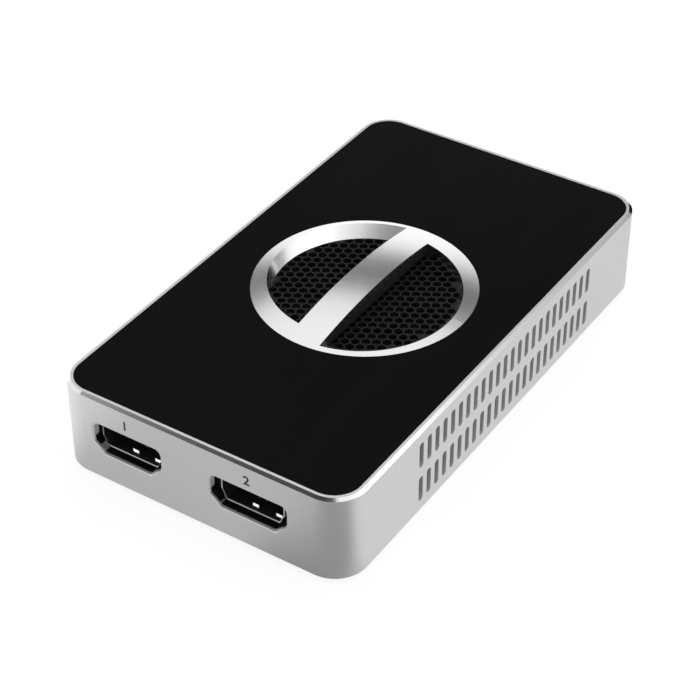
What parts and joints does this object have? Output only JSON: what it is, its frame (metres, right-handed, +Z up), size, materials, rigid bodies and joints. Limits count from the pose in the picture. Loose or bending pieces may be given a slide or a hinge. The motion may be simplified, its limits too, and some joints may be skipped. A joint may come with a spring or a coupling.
{
  "type": "video capture box",
  "caption": "Flat aluminium video capture box with a glossy black top, a domed round fan guard over a hexagon grille, side vents, video ports in front and a computer port behind.",
  "frame": {"origin": "middle of the footprint, on the surface that the four feet stand on", "axes": "+X across the box to the right as the video ports are faced from behind them, +Y from the video ports to the rear, +Z up"},
  "size_m": [0.07, 0.1212, 0.0234],
  "materials": {
    "satin_aluminium": "bead blasted and clear anodised",
    "guard_aluminium": "satin turned dome with bright edges",
    "black_panel": "smooth black cover",
    "adhesive": "thin film",
    "black_plastic": "moulded, fine grain",
    "black_mesh": "etched sheet, black coat",
    "base_paint": "fine powder coat",
    "black_screw": "blackened steel",
    "steel_screw": "nickel plated",
    "rubber": "matt",
    "board": "black solder mask",
    "connector_shell": "nickel plated, dull",
    "connector_black": "moulded",
    "connector_blue": "moulded",
    "gilt": "gold flash",
    "foam": "foam",
    "magnet": "ferrite",
    "laminations": "stacked sheet",
    "copper_wire": "enamelled wire",
    "bronze": "sintered",
    "polished_steel": "ground",
    "sink_aluminium": "extruded",
    "heat_pad": "soft pad",
    "chip": "moulded package",
    "can": "drawn can",
    "ferrite": "moulded",
    "lamp": "clear resin",
    "light_pipe": "frosted clear plastic",
    "wire": "insulation",
    "white_plastic": "moulded"
  },
  "bodies": {
    "case": {"housing": "satin_aluminium", "top_panel": "black_panel", "panel_adhesive": "adhesive", "fan_guard": "guard_aluminium", "bar_backing": "black_plastic", "grille_mesh": "black_mesh", "grille_frame": "black_plastic", "base_plate": "base_paint", "base_screws": "black_screw", "feet": "rubber", "main_board": "board", "board_screws": "steel_screw", "hdmi_in_shell": "connector_shell", "hdmi_in_insulator": "connector_black", "hdmi_in_contacts": "gilt", "hdmi_out_shell": "connector_shell", "hdmi_out_insulator": "connector_black", "hdmi_out_contacts": "gilt", "port_gaskets": "foam", "usb_shell": "connector_shell", "usb_insulator": "connector_blue", "usb_contacts": "gilt", "mic_jack": "connector_black", "line_jack": "connector_black", "indicator_led": "lamp", "light_pipe": "light_pipe", "fan_frame": "black_plastic", "fan_bearing": "bronze", "fan_stator": "laminations", "fan_windings": "copper_wire", "fan_circuit": "board", "fan_screws": "steel_screw", "main_chip": "chip", "thermal_pad": "heat_pad", "heat_sink": "sink_aluminium", "sink_screws": "steel_screw", "memory_chips": "chip", "support_chips": "chip", "crystal": "can", "capacitors": "can", "power_coils": "ferrite", "fan_header": "white_plastic", "fan_plug": "white_plastic", "fan_lead": "wire"},
    "rotor": {"fan_rotor": "black_plastic", "fan_shaft": "polished_steel", "fan_magnet": "magnet"}
  },
  "joints": [
    {"name": "fan_spin", "type": "hinge", "parent": "case", "child": "rotor", "pos_m": [0, 0, 0.015], "axis": [0, 0, 1], "continuous": true}
  ]
}
